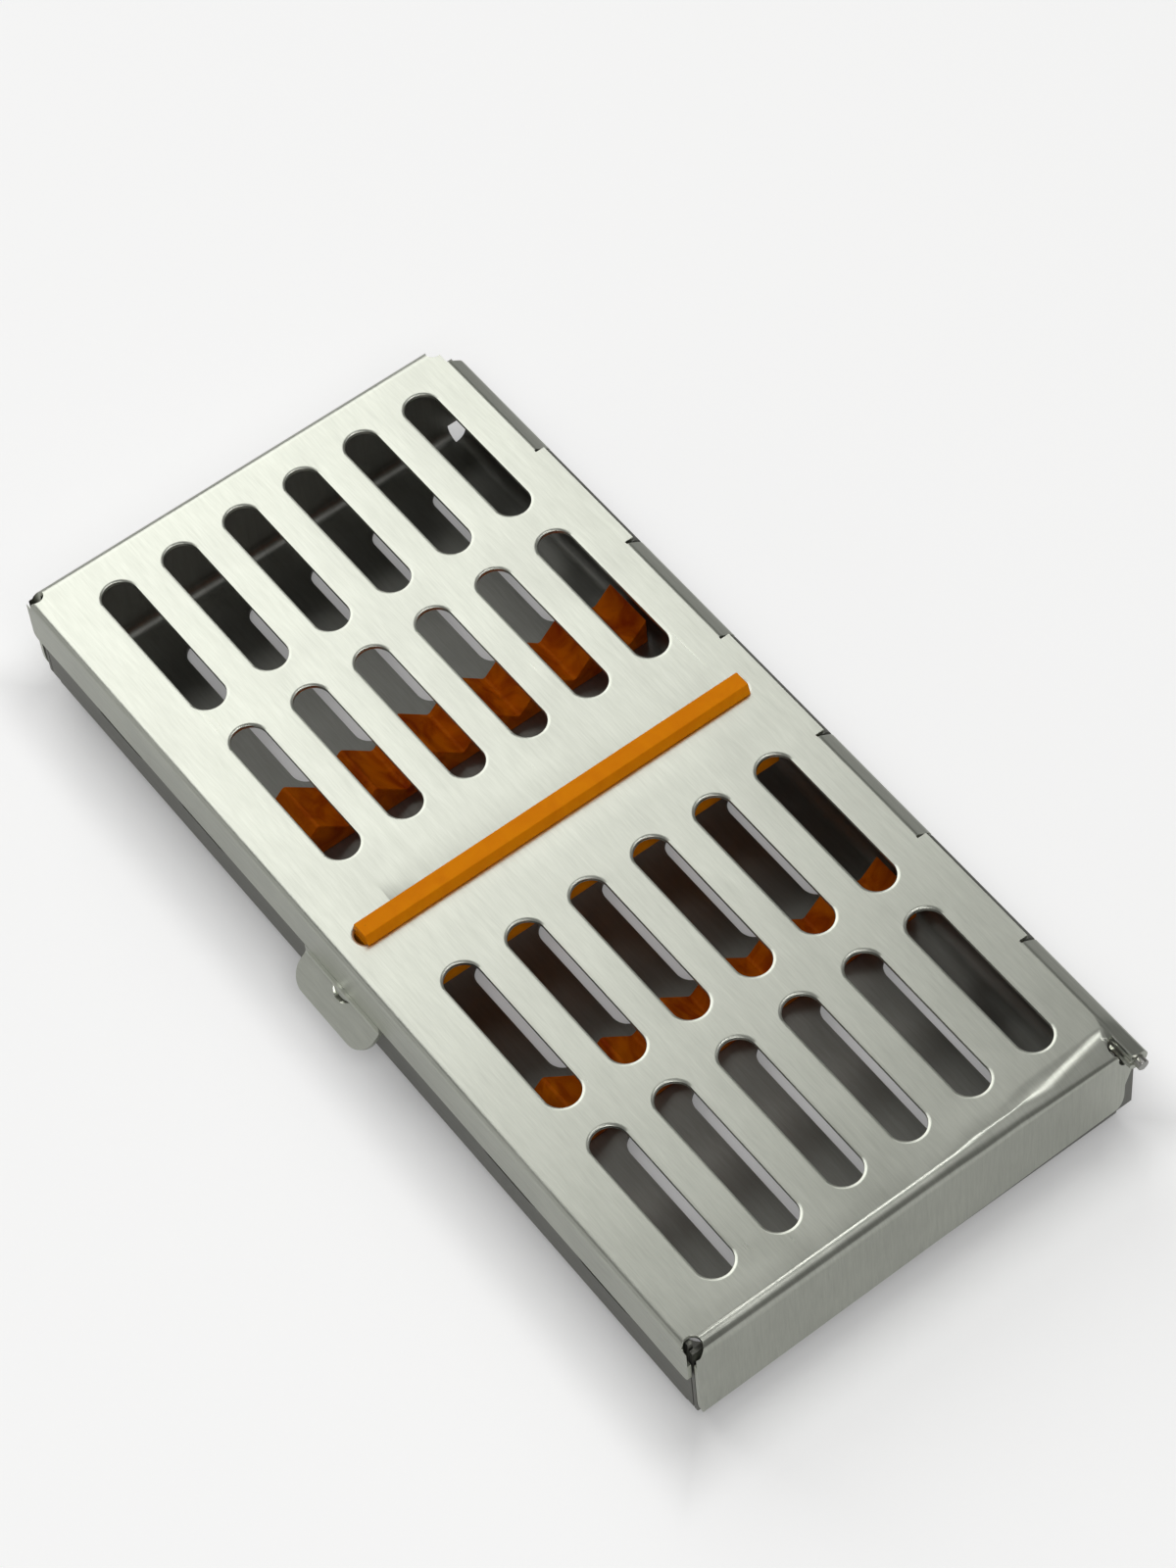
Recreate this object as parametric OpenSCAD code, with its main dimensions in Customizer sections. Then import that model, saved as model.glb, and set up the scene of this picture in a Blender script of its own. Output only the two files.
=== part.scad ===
// Instrument cassette for cleaning and sterilising dental hand instruments.
// A tray and a lid are each folded from one slotted steel sheet and turn on a
// rod that runs through knuckles rolled from their edges. Silicone racks in
// the tray and a silicone strip in the lid hold the instruments.
// X runs from the latch side to the hinge side, Y along the cassette, Z up.
// The origin lies on the underside of the tray's floor, on the middle line of
// its slots, halfway along.

/* [Case] */
// Length over the lid's end flanges
case_length = 180; // [170:1:230]
// Height from the underside of the tray to the top of the lid
case_height = 23.5; // [22:0.5:32]
// Width from the outside of the lid's latch side to the axis of the hinge rod
case_width = 84.7; // [84.2:0.1:92]
// Shift of the slots' middle line from the middle of that width towards the hinge
slots_shift = 1.05; // [0.8:0.05:1.3]
// Thickness of the steel sheet
sheet = 0.8; // [0.6:0.1:1]
// Gap between the lid's flanges and the tray's walls
fold_gap = 0.4; // [0.3:0.05:0.6]

/* [Lid] */
// Depth of the lid's end flanges at the latch side, from the lid's top
end_flange_h = 19.4; // [17:0.2:20]
// Rise of the end flanges' lower edges towards the hinge
end_flange_rise = 1.9; // [0:0.1:3]
// Depth of the lid's latch side flange, from the lid's top
side_flange_h = 9.8; // [8:0.1:10.2]
// Radius of the flanges' lower corners
flange_corner_r = 3.5; // [1:0.5:5]
// Inner radius of the folds at the lid's ends
end_fold_r = 1.6; // [1:0.1:2.4]
// Inner radius of the fold at the lid's latch side
side_fold_r = 0.4; // [0.2:0.1:1]
// Diameter of the round holes where two folds meet
corner_hole_d = 3; // [2.4:0.1:3.4]
// Distance of those holes' middles from the lid's ends
corner_hole_in = 1.5; // [1.3:0.1:1.7]
// Distance from the lid's latch side to the left edges of the end flanges
flange_left_in = 1; // [0.9:0.1:1.2]
// Reach of the end flanges past the hinge axis, just under the knuckles
flange_right_out = 0.2; // [-0.4:0.1:0.4]
// Step by which the end flanges' right edges go back further down
flange_step_in = 1.1; // [0:0.1:2]
// Depths below the lid's top between which that step lies
flange_step_drop = [8.1, 11.5];
// Distance from the lid's ends to the ends of the latch side flange
side_flange_in = 1.2; // [1:0.1:1.6]
// Radius of the latch side flange's lower corners
side_corner_r = 1.2; // [0.6:0.1:2]

/* [Lid slots] */
// Width of every long slot, in the lid and in the tray
slot_w = 6.4; // [4:0.1:7.4]
// Length of the lid's slots
lid_slot_l = 31.6; // [20:0.2:33]
// Distance from one lid slot to the next across the lid
lid_slot_pitch = 12.31; // [11.5:0.01:12.6]
// Distance from the lid's middle to its inner rows of slots
lid_row_in = 29.1; // [26:0.1:30]
// Distance from the lid's middle to its outer rows of slots
lid_row_out = 66.6; // [66:0.1:68]

/* [Hinge] */
// Diameter of the hinge rod
rod_d = 2; // [1.6:0.1:2.2]
// Clearance around the rod in the lid's knuckles
rod_clear = 0.05; // [0.03:0.01:0.08]
// Depth of the rod's axis below the lid's top
rod_drop = 2.95; // [2.9:0.05:3.4]
// Length of one knuckle with its share of the gap
knuckle_l = 25.05; // [23:0.05:25.5]
// Gap between neighbouring knuckles
knuckle_gap = 0.5; // [0.3:0.1:1]
// Slope of the lid's sheet down to its knuckles, in degrees
knuckle_slope = 35; // [30:1:40]
// Turn of the lid's rolled knuckles, in degrees
lid_roll_turn = 290; // [240:5:295]
// Turn of the tray's rolled knuckles, in degrees
tray_roll_turn = 255; // [220:5:260]
// Distance from the lid's far end to the last knuckle
last_knuckle_in = 5.1; // [4:0.1:8]
// Reach of the first knuckle past the lid's near end
first_knuckle_out = 1.5; // [0.5:0.1:2]
// Reach of the lid's flat sheet past the hinge axis, over the tray's knuckles
lid_edge_out = 0.3; // [0.1:0.1:0.4]
// Length of rod that stands out at the near end
rod_out = 1.4; // [0.5:0.1:2]
// Length of rod that stands out at the far end
rod_far_out = 0.6; // [0.2:0.1:1]

/* [Latch] */
// Width of the latch tongue along the case
tongue_w = 20; // [14:0.5:26]
// Place of the latch tongue along the case
tongue_y = 0.4; // [-3:0.1:3]
// Depth of the tongue's bend below the lid's top
tongue_bend_drop = 11.4; // [11:0.1:12.4]
// Radius of the hollow side of the tongue's bend
tongue_bend_r = 1.2; // [0.6:0.1:1.6]
// Slope of the thumb lip below the level, in degrees
lip_slope = 42; // [30:1:50]
// Length of the flat part of the thumb lip
lip_l = 4.8; // [4:0.1:5.4]
// Radius of the lip's corners
lip_corner_r = 3.8; // [1:0.1:4]
// Gap of the fold between the flange and the tongue
tongue_gap = 0.15; // [0.1:0.05:0.3]
// Width of the half-moon cut under the catch in the tongue
catch_w = 4.6; // [3.6:0.1:5.4]
// Height of the half-moon cut's lower arc
catch_sag = 1; // [0.8:0.1:1.2]
// Depth of the half-moon cut below the start of the bend
catch_drop = 0.6; // [0.5:0.1:0.8]

/* [Tray] */
// Outer radius of the folds between floor and walls
tray_fold_r = 3; // [2:0.1:3.4]
// Gap between the tray's wall tops and the lid
wall_gap = 0.4; // [0.3:0.05:0.8]
// Distance from one floor slot to the next across the tray
floor_slot_pitch = 12.86; // [12:0.01:13]
// Length of the floor's inner slots
floor_slot_in_l = 25.1; // [18:0.1:25.4]
// Distance from the middle to the middle of the floor's inner slots
floor_slot_in_y = 15.25; // [14.8:0.05:15.4]
// Length of the floor's outer slots
floor_slot_out_l = 36.5; // [30:0.5:36.5]
// Distance from the middle to the middle of the floor's outer slots
floor_slot_out_y = 61.35; // [61.3:0.05:61.6]
// Length of the slots in the side walls
wall_slot_l = 16; // [12:0.5:17]
// Distances from the middle to the slots in the side walls
wall_slot_y = [42, 66];
// Height of the middle of the side walls' slots
wall_slot_z = 11.9; // [11:0.1:12.6]

/* [Racks] */
// Distance from one instrument groove to the next
groove_pitch = 11.5; // [11:0.1:11.6]
// Slope of the grooves' flanks, in degrees
groove_slope = 44; // [38:1:46]
// Radius of the rounded crests and groove bottoms
crest_r = 0.6; // [0.4:0.1:0.8]
// Thickness of silicone under the grooves
rack_base = 2.6; // [2:0.1:4]
// Width of a rack along the case
rack_w = 10; // [7:0.5:12]
// Distance from the middle to each rack
rack_y = 35.45; // [35.3:0.05:35.6]
// Distance from the middle line to the ends of the racks' slots in the floor
floor_seam_x = 38; // [36:0.1:38.2]
// Shift of the grooves towards the hinge
groove_shift = 1.5; // [1:0.1:2]
// Left end of the racks, from the middle line
rack_left = 38.7; // [38.2:0.1:38.9]
// Right end of the racks, from the middle line
rack_right = 39.7; // [39:0.1:39.9]

/* [Hold-down strip] */
// Width of the strip's ridge on top of the lid
ridge_w = 4.4; // [4.2:0.1:6]
// Height of the ridges that stand out of the sheets
ridge_h = 2; // [1:0.1:2.5]
// Width of the transverse slots that the silicone is pushed through
seam_slot_w = 3.9; // [3:0.1:4]
// Clearance of the silicone in those slots
seam_clear = 0.05; // [0.03:0.01:0.1]
// Reach of the lid's transverse slot to the latch side and to the hinge side
lid_seam_x = [39.5, 37.6];
// Reach of the strip to the latch side and to the hinge side
strip_x = [38.6, 37];
// Width of the strip's body at its lower face
strip_w = 18; // [12:0.5:20]
// Width of the strip's body under the lid
strip_top_w = 13; // [8:0.5:16]
// Height of the strip's lower face above the tray's underside
strip_z = 11.6; // [11.4:0.1:14]
// Height of the strip's widest part above its lower face
strip_edge_h = 2.4; // [1.4:0.1:4]
// Size of the bevels along the strip's lower face
strip_bevel = 1; // [0.4:0.1:1.2]

/* [Hidden] */
$fn = 48;
cut = 1;
columns = [-2.5, -1.5, -0.5, 0.5, 1.5, 2.5];
arc_steps = 8;

hinge_x = case_width / 2 - slots_shift;
hinge_z = case_height - rod_drop;
latch_side_x = case_width / 2 + slots_shift;
rod_r = rod_d / 2;
tray_knuckle_r = rod_r + sheet;
lid_bore_r = rod_r + rod_clear;
lid_knuckle_r = lid_bore_r + sheet;
knuckle_clear = 0.5;
half_l = case_length / 2;
tray_half_l = half_l - sheet - fold_gap;
tray_left_x = latch_side_x - sheet - fold_gap;
tray_right_x = hinge_x + tray_knuckle_r;
wall_top_z = case_height - sheet - wall_gap;
end_wall_top_z = case_height - end_fold_r - sheet;
window_z = hinge_z - lid_knuckle_r - knuckle_clear;

// The knuckles' borders: the lid has the first, third, fifth and seventh
knuckle_count = 7;
near_end = -half_l - first_knuckle_out;
far_end = half_l - last_knuckle_in;
borders = concat([near_end],
                 [for (k = [1:knuckle_count]) far_end - (knuckle_count - k) * knuckle_l]);

lid_flat_edge = hinge_x + lid_edge_out;
end_fold_out = end_fold_r + sheet;
side_fold_out = side_fold_r + sheet;
flange_left_x = latch_side_x - flange_left_in;
flange_right_x = hinge_x + flange_right_out;
side_flange_end = half_l - side_flange_in;
slit_in = 1.1;
slit_l = 5;
slit_x = hinge_x - slit_in;
end_fold_in = 1.4;
end_fold_x = slit_x - end_fold_in;
flange_clear = 0.6;

tongue_top_z = case_height - side_flange_h - tongue_gap;
tongue_bend_z = case_height - tongue_bend_drop;
catch_z = tongue_bend_z - catch_drop;
catch_edge_sag = 0.4;
catch_clear = 0.1;
catch_reach = fold_gap - catch_clear;
catch_r = 1.3;
catch_taper = 0.2;
catch_play = 1;
window_w = catch_w + 2 * catch_play;
window_h = 2 * (catch_r + catch_clear);

wall_butt_gap = 0.2;
rack_top_z = sheet + rack_base;
rack_clip = 60;
seam_end_gap = 0.6;
neck_w = seam_slot_w - 2 * seam_clear;
neck_root = 0.2;
ridge_taper = 0.7;

// Turns a profile drawn with X across and Y up into a bar along the case
module along_case(y0, y1) {
    translate([0, y1, 0]) rotate([90, 0, 0]) linear_extrude(y1 - y0) children();
}

// Turns a profile drawn with X along the case and Y up into a bar across it
module across_case(x0, x1) {
    translate([x0, 0, 0]) rotate([90, 0, 90]) linear_extrude(x1 - x0) children();
}

// A rolled or folded stretch of sheet whose axis lies along the case
module roll_along(x, z, r_in, start, turn, y0, y1) {
    translate([x, y1, z]) rotate([90, 0, 0]) rotate([0, 0, start])
        rotate_extrude(angle = turn) translate([r_in, 0]) square([sheet, y1 - y0]);
}

// A folded stretch of sheet whose axis lies across the case
module roll_across(y, z, r_in, start, turn, x0, x1) {
    translate([x0, y, z]) rotate([90, 0, 90]) rotate([0, 0, start])
        rotate_extrude(angle = turn) translate([r_in, 0]) square([sheet, x1 - x0]);
}

// A long hole with round ends, drawn flat, that runs along its first axis
module obround(l, w) {
    union() {
        square([l - w, w], center = true);
        for (s = [-1, 1]) translate([s * (l - w) / 2, 0]) circle(d = w);
    }
}

// The latch side flange drawn flat, with round lower corners
module side_flange_outline() {
    y = side_flange_end;
    z0 = case_height - side_flange_h;
    z1 = case_height - side_fold_out;
    r = side_corner_r;
    translate([-y + r, z0]) square([2 * (y - r), r]);
    translate([-y, z0 + r]) square([2 * y, z1 - z0 - r]);
    for (s = [-1, 1]) translate([s * (y - r), z0 + r]) circle(r = r);
}

// An end flange drawn flat: its lower edge rises and its right edge steps back
module end_flange_outline() {
    x0 = -flange_left_x;
    x1 = flange_right_x - flange_step_in;
    z0 = case_height - end_flange_h;
    z1 = z0 + end_flange_rise;
    top = case_height - end_fold_out;
    r = flange_corner_r;
    polygon(concat(
        [[x0, top]],
        arc_points(x0 + r, z0 + r, r, 180, 270),
        arc_points(x1 - r, z1 + r, r, 270, 360),
        [[x1, case_height - flange_step_drop[1]],
         [flange_right_x, case_height - flange_step_drop[0]], [flange_right_x, top]]));
}

// Profile of one lid knuckle's slope, from the flat sheet to the roll
module knuckle_slope_profile() {
    s = sin(knuckle_slope);
    c = cos(knuckle_slope);
    outer_run = (rod_drop - lid_knuckle_r * c) / s;
    inner_run = (rod_drop - sheet - lid_bore_r * c) / s;
    translate([hinge_x, hinge_z]) polygon([
        [lid_knuckle_r * s - outer_run * c, rod_drop],
        [lid_knuckle_r * s, lid_knuckle_r * c],
        [lid_bore_r * s, lid_bore_r * c],
        [lid_bore_r * s - inner_run * c, rod_drop - sheet]
    ]);
}

// One lid knuckle: the slope and the curl round the rod
module lid_knuckle(y0, y1) {
    along_case(y0, y1) knuckle_slope_profile();
    roll_along(hinge_x, hinge_z, lid_bore_r, 90 - knuckle_slope - lid_roll_turn,
               lid_roll_turn, y0, y1);
}

// One tray knuckle: the wall's top and the curl round the rod
module tray_knuckle(y0, y1) {
    translate([tray_right_x - sheet, y0, window_z - cut])
        cube([sheet, y1 - y0, hinge_z - window_z + cut]);
    roll_along(hinge_x, hinge_z, rod_r, 0, tray_roll_turn, y0, y1);
}

// The lid's top sheet with its folds and flanges, before the holes
module lid_blank() {
    flat_x0 = -latch_side_x + side_fold_out;
    flat_half = half_l - end_fold_out;
    crease_x = hinge_x - (rod_drop - lid_knuckle_r * cos(knuckle_slope)) / tan(knuckle_slope)
               + lid_knuckle_r * sin(knuckle_slope);
    z0 = case_height - sheet;
    translate([flat_x0, -flat_half, z0])
        cube([crease_x - flat_x0, 2 * flat_half, sheet]);
    for (k = [1:2:5])
        translate([crease_x - cut, borders[k], z0])
            cube([lid_flat_edge - crease_x + cut, borders[k + 1] - borders[k], sheet]);
    roll_along(flat_x0, case_height - side_fold_out, side_fold_r, 90, 90, -flat_half, flat_half);
    translate([-latch_side_x, 0, 0]) rotate([90, 0, 90]) linear_extrude(sheet)
        side_flange_outline();
    for (e = [0, 1]) mirror([0, e, 0]) {
        roll_across(-flat_half, case_height - end_fold_out, end_fold_r, 90, 90,
                    -flange_left_x + flange_clear, end_fold_x);
        translate([0, -half_l + sheet, 0]) rotate([90, 0, 0]) linear_extrude(sheet)
            end_flange_outline();
    }
}

module lid_shell() color([0.80, 0.80, 0.77]) difference() {
    union() {
        difference() {
            lid_blank();
            lid_slots();
            corner_holes();
            hinge_clearance();
        }
        for (k = [0:2:6])
            lid_knuckle(borders[k] + (k == 0 ? 0 : knuckle_gap / 2),
                        borders[k + 1] - knuckle_gap / 2);
    }
    for (k = [1:6])
        translate([slit_x, borders[k] - knuckle_gap / 2, hinge_z])
            cube([slit_l, knuckle_gap, rod_drop + cut]);
}

// The long slots and the transverse slot for the strip
module lid_slots() {
    translate([0, 0, case_height - sheet - cut]) linear_extrude(sheet + 2 * cut) {
        for (c = columns, y = [lid_row_in, lid_row_out], s = [-1, 1])
            translate([c * lid_slot_pitch, s * y]) rotate(90) obround(lid_slot_l, slot_w);
        translate([(lid_seam_x[1] - lid_seam_x[0]) / 2, 0])
            obround(lid_seam_x[0] + lid_seam_x[1], seam_slot_w);
    }
}

// Round holes where the folds of two sides meet
module corner_holes() {
    depth = 5;
    for (s = [-1, 1], x = [-flange_left_x + flange_clear, slit_x - flange_clear])
        translate([x, s * (half_l - corner_hole_in), case_height - depth])
            cylinder(d = corner_hole_d, h = depth + cut);
}

// Room for the knuckles and the rod in the end flanges
module hinge_clearance() {
    l = 10;
    for (s = [-1, 1]) translate([hinge_x, s * half_l + l / 2, hinge_z]) rotate([90, 0, 0])
        cylinder(r = lid_knuckle_r + flange_clear, h = l);
}

// Latch: a spring tongue that goes on from the flange and flares to a lip
module latch_tongue() color([0.74, 0.74, 0.71]) difference() {
    union() {
        along_case(tongue_y - tongue_w / 2, tongue_y + tongue_w / 2)
            polygon(tongue_outline());
        catch_button();
    }
    catch_cut();
    for (s = [-1, 1]) lip_corner(s);
}

// Points of the tongue's profile: down the outside, round the tip, up the inside
function tongue_outline() =
    let (x = -latch_side_x,
         turn = 90 - lip_slope,
         along = lip_l * [-sin(turn), -cos(turn)],
         outer = arc_points(x - tongue_bend_r, tongue_bend_z, tongue_bend_r, 0, -turn),
         inner = arc_points(x - tongue_bend_r, tongue_bend_z, tongue_bend_r + sheet, 0, -turn),
         last = len(outer) - 1)
    concat([[x + sheet, tongue_top_z], [x, tongue_top_z]], outer,
           [outer[last] + along, inner[last] + along],
           [for (i = [last:-1:0]) inner[i]]);

// What is cut away outside one of the lip's round corners
module lip_corner(side) {
    turn = 90 - lip_slope;
    translate([-latch_side_x - tongue_bend_r, tongue_y, tongue_bend_z]) rotate([0, turn, 0])
        translate([tongue_bend_r - cut, side * tongue_w / 2, -lip_l]) rotate([90, 0, 90])
            linear_extrude(sheet + 2 * cut) difference() {
                translate([-side * lip_corner_r / 2, lip_corner_r / 2])
                    translate([side * cut / 2, -cut / 2])
                        square(lip_corner_r + cut, center = true);
                translate([-side * lip_corner_r, lip_corner_r]) circle(r = lip_corner_r);
            }
}

// Points of an arc from angle a0 to angle a1
function arc_points(x, z, r, a0, a1) = [
    for (i = [0:arc_steps]) let (a = a0 + (a1 - a0) * i / arc_steps)
        [x + r * cos(a), z + r * sin(a)]
];

// Radius of an arc from its chord and its height over the chord
function arc_radius(chord, sag) = (chord * chord / 4 + sag * sag) / (2 * sag);

// The half-moon cut through the tongue, under the part that is pressed inwards
module catch_cut() {
    outer_r = arc_radius(catch_w, catch_sag);
    inner_r = arc_radius(catch_w, catch_edge_sag);
    translate([-latch_side_x - cut, tongue_y, catch_z]) rotate([90, 0, 90])
        linear_extrude(sheet + 2 * cut) difference() {
            translate([0, outer_r - catch_sag]) circle(r = outer_r);
            translate([0, inner_r - catch_edge_sag]) circle(r = inner_r);
        }
}

// The catch itself: a low button on the inner face that ends at the half-moon cut
module catch_button() {
    root = sheet / 2;
    intersection() {
        translate([-latch_side_x + sheet - root, tongue_y, tongue_bend_z]) rotate([0, 90, 0])
            cylinder(r1 = catch_r + root, r2 = catch_r - catch_taper, h = catch_reach + root);
        translate([-latch_side_x, tongue_y - catch_w, catch_z])
            cube([sheet + catch_reach, 2 * catch_w, tongue_top_z - catch_z]);
    }
}

// The tray: floor, folded walls and the knuckles of its hinge side
module tray_shell() color([0.62, 0.62, 0.60]) difference() {
    union() {
        difference() {
            tray_blank();
            floor_slots();
            wall_slots();
        }
        for (k = [1:2:5])
            tray_knuckle(borders[k] + knuckle_gap / 2, borders[k + 1] - knuckle_gap / 2);
    }
    catch_window();
}

module tray_blank() {
    x0 = -tray_left_x + tray_fold_r;
    x1 = tray_right_x - tray_fold_r;
    y1 = tray_half_l - tray_fold_r;
    r_in = tray_fold_r - sheet;
    side_half = tray_half_l - sheet - wall_butt_gap;
    translate([x0, -y1, 0]) cube([x1 - x0, 2 * y1, sheet]);
    roll_along(x0, tray_fold_r, r_in, 180, 90, -y1, y1);
    roll_along(x1, tray_fold_r, r_in, 270, 90, -y1, y1);
    translate([-tray_left_x, -side_half, tray_fold_r])
        cube([sheet, 2 * side_half, wall_top_z - tray_fold_r]);
    translate([tray_right_x - sheet, -side_half, tray_fold_r])
        cube([sheet, 2 * side_half, window_z - tray_fold_r]);
    for (e = [0, 1]) mirror([0, e, 0]) {
        roll_across(-y1, tray_fold_r, r_in, 180, 90, x0, x1);
        translate([0, -tray_half_l + sheet, 0]) rotate([90, 0, 0]) linear_extrude(sheet)
            end_wall_outline();
    }
}

// An end wall drawn flat: it steps down under the lid's outer knuckles
module end_wall_outline() {
    step_x = hinge_x - lid_knuckle_r - knuckle_clear;
    polygon([
        [-tray_left_x, tray_fold_r], [tray_right_x, tray_fold_r], [tray_right_x, window_z],
        [step_x, window_z], [step_x, end_wall_top_z], [-tray_left_x, end_wall_top_z]
    ]);
}

module floor_slots() {
    translate([0, 0, -cut]) linear_extrude(sheet + 2 * cut) {
        for (c = columns, s = [-1, 1]) translate([c * floor_slot_pitch, 0]) {
            translate([0, s * floor_slot_in_y]) rotate(90) obround(floor_slot_in_l, slot_w);
            translate([0, s * floor_slot_out_y]) rotate(90) obround(floor_slot_out_l, slot_w);
        }
        for (s = [-1, 1]) translate([0, s * rack_y])
            obround(2 * floor_seam_x, seam_slot_w);
    }
}

// Slots in both side walls
module wall_slots() {
    for (y = wall_slot_y, s = [-1, 1], x = [-tray_left_x, tray_right_x - sheet])
        translate([x - cut, s * y, wall_slot_z]) rotate([90, 0, 90])
            linear_extrude(sheet + 2 * cut) obround(wall_slot_l, slot_w);
}

// The hole in the latch side wall that the half-moon catch snaps into
module catch_window() {
    translate([-tray_left_x - cut, tongue_y, tongue_bend_z])
        rotate([90, 0, 90]) linear_extrude(sheet + 2 * cut)
            obround(window_w, window_h);
}

module hinge_rod() color([0.70, 0.70, 0.68]) {
    y0 = near_end - rod_out;
    y1 = far_end + rod_far_out;
    translate([hinge_x, y1, hinge_z]) rotate([90, 0, 0]) cylinder(r = rod_r, h = y1 - y0);
}

// Strip in the lid: a ridge on top, a neck through the sheet, a body below
module hold_down_strip() color([0.86, 0.50, 0.06]) {
    x0 = -strip_x[0];
    x1 = strip_x[1];
    z_in = case_height - sheet;
    across_case(x0, x1) {
        ridge_profile(case_height, 1);
        polygon(both_sides([
            [strip_top_w / 2, z_in], [strip_w / 2, strip_z + strip_edge_h],
            [strip_w / 2, strip_z + strip_bevel], [strip_w / 2 - strip_bevel, strip_z]
        ]));
    }
    translate([(x0 + x1) / 2, 0, z_in]) neck(x1 - x0);
}

// Points of one side of a profile, and the same points mirrored to the other side
function both_sides(side) = concat(
    side, [for (i = [len(side) - 1:-1:0]) [-side[i][0], side[i][1]]]);

// Neck through a sheet's slot: it is rooted in the silicone on both faces of the sheet
module neck(l) {
    translate([0, 0, -neck_root]) linear_extrude(sheet + 2 * neck_root) obround(l, neck_w);
}

// Ridge that keeps the silicone in its slot, from height z upwards or downwards
module ridge_profile(z, side) {
    b = ridge_w / 2;
    t = b - ridge_taper;
    polygon([[-b, z], [b, z], [t, z + side * ridge_h], [-t, z + side * ridge_h]]);
}

// Outline of a rack's grooves from left to right
function groove_line() =
    let (bottom = rack_top_z + crest_r,
         lift = groove_pitch / 2 * tan(groove_slope),
         crest = bottom + lift - 2 * crest_r / cos(groove_slope),
         low = 270 - groove_slope,
         high = 90 + groove_slope)
    [for (k = [-4:3]) let (x = groove_shift + k * groove_pitch) each concat(
        k > -4 ? arc_points(x, bottom, crest_r, low, 540 - low) : [],
        arc_points(x + groove_pitch / 2, crest, crest_r, high, 180 - high))];

// One rack: the grooved bar, a neck through the floor and a ridge below it
module rack(y) {
    neck_half = floor_seam_x - seam_end_gap;
    translate([0, y, 0]) {
        intersection() {
            along_case(-rack_w / 2, rack_w / 2)
                polygon(concat([[-rack_clip, sheet], [-rack_clip, rack_top_z]], groove_line(),
                               [[rack_clip, rack_top_z], [rack_clip, sheet]]));
            translate([-rack_left, -rack_w, 0])
                cube([rack_left + rack_right, 2 * rack_w, rack_clip]);
        }
        across_case(-neck_half, neck_half) ridge_profile(0, -1);
        neck(2 * neck_half);
    }
}

module front_rack() color([0.80, 0.38, 0.05]) rack(-rack_y);

module rear_rack() color([0.80, 0.38, 0.05]) rack(rack_y);

lid_shell();
latch_tongue();
tray_shell();
hinge_rod();
hold_down_strip();
front_rack();
rear_rack();
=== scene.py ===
"""Looks of a slotted steel cassette for dental hand instruments.

Each section makes one piece, in the order in which the cassette goes together.
Sizes are in millimetres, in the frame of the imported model.
"""

from math import cos, pi, radians, sin, tan

import bmesh
import bpy
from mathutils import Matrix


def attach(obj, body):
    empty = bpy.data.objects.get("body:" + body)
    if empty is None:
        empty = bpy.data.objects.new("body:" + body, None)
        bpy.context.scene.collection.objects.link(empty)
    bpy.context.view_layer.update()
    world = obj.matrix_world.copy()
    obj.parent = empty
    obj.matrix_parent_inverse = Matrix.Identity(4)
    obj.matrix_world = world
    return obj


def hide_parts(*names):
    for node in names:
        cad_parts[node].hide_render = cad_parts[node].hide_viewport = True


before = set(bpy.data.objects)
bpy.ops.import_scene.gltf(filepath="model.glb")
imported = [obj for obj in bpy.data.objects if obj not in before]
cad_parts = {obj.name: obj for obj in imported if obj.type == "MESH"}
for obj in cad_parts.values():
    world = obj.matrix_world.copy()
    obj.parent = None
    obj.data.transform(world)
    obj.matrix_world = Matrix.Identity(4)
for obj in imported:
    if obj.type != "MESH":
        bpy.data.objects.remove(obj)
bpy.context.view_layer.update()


# Tray.
# One stamped sheet of stainless steel, 0.8 mm thick: a slotted floor, four walls folded
# up at a 3 mm radius, and three knuckles rolled inwards from the hinge wall.
MM = 0.001
SHEET, SHEET_EASE = 0.8, 0.15


def flat_sheet(name, x0, x1, y0, y1, z):
    """A flat blank between two x and two y places, at height z."""
    bpy.ops.object.select_all(action="DESELECT")
    bpy.ops.mesh.primitive_plane_add(
        size=1, location=((x0 + x1) / 2 * MM, (y0 + y1) / 2 * MM, z * MM))
    blank = bpy.context.object
    blank.name = name
    blank.scale = ((x1 - x0) * MM, (y1 - y0) * MM, 1)
    bpy.ops.object.transform_apply(location=True, rotation=True, scale=True)
    return blank


def work_on(piece):
    """Opens one piece in edit mode, with nothing else selected."""
    bpy.ops.object.select_all(action="DESELECT")
    piece.select_set(True)
    bpy.context.view_layer.objects.active = piece
    bpy.ops.object.mode_set(mode="EDIT")


def put_down():
    bpy.ops.object.mode_set(mode="OBJECT")


def pick(kind, wanted, sharper=0):
    """Selects the points, edges or faces whose middle is wanted. The middle is in mm."""
    bpy.ops.mesh.select_mode(type=kind)
    bpy.ops.mesh.select_all(action="DESELECT")
    mesh = bmesh.from_edit_mesh(bpy.context.edit_object.data)
    for part in {"VERT": mesh.verts, "EDGE": mesh.edges, "FACE": mesh.faces}[kind]:
        if sharper and part.calc_face_angle(0) < radians(sharper):
            continue
        corners = [part] if kind == "VERT" else part.verts
        middle = [sum(v.co[i] for v in corners) / len(corners) / MM for i in range(3)]
        if wanted(*middle):
            part.select_set(True)
    bmesh.update_edit_mesh(bpy.context.edit_object.data)


def pull(x, y, z):
    """Extrudes what is selected by a move in mm."""
    bpy.ops.mesh.extrude_region_move(
        TRANSFORM_OT_translate={"value": (x * MM, y * MM, z * MM)})


def shift(x, y, z):
    """Moves what is selected by a move in mm."""
    bpy.ops.transform.translate(value=(x * MM, y * MM, z * MM))


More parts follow.
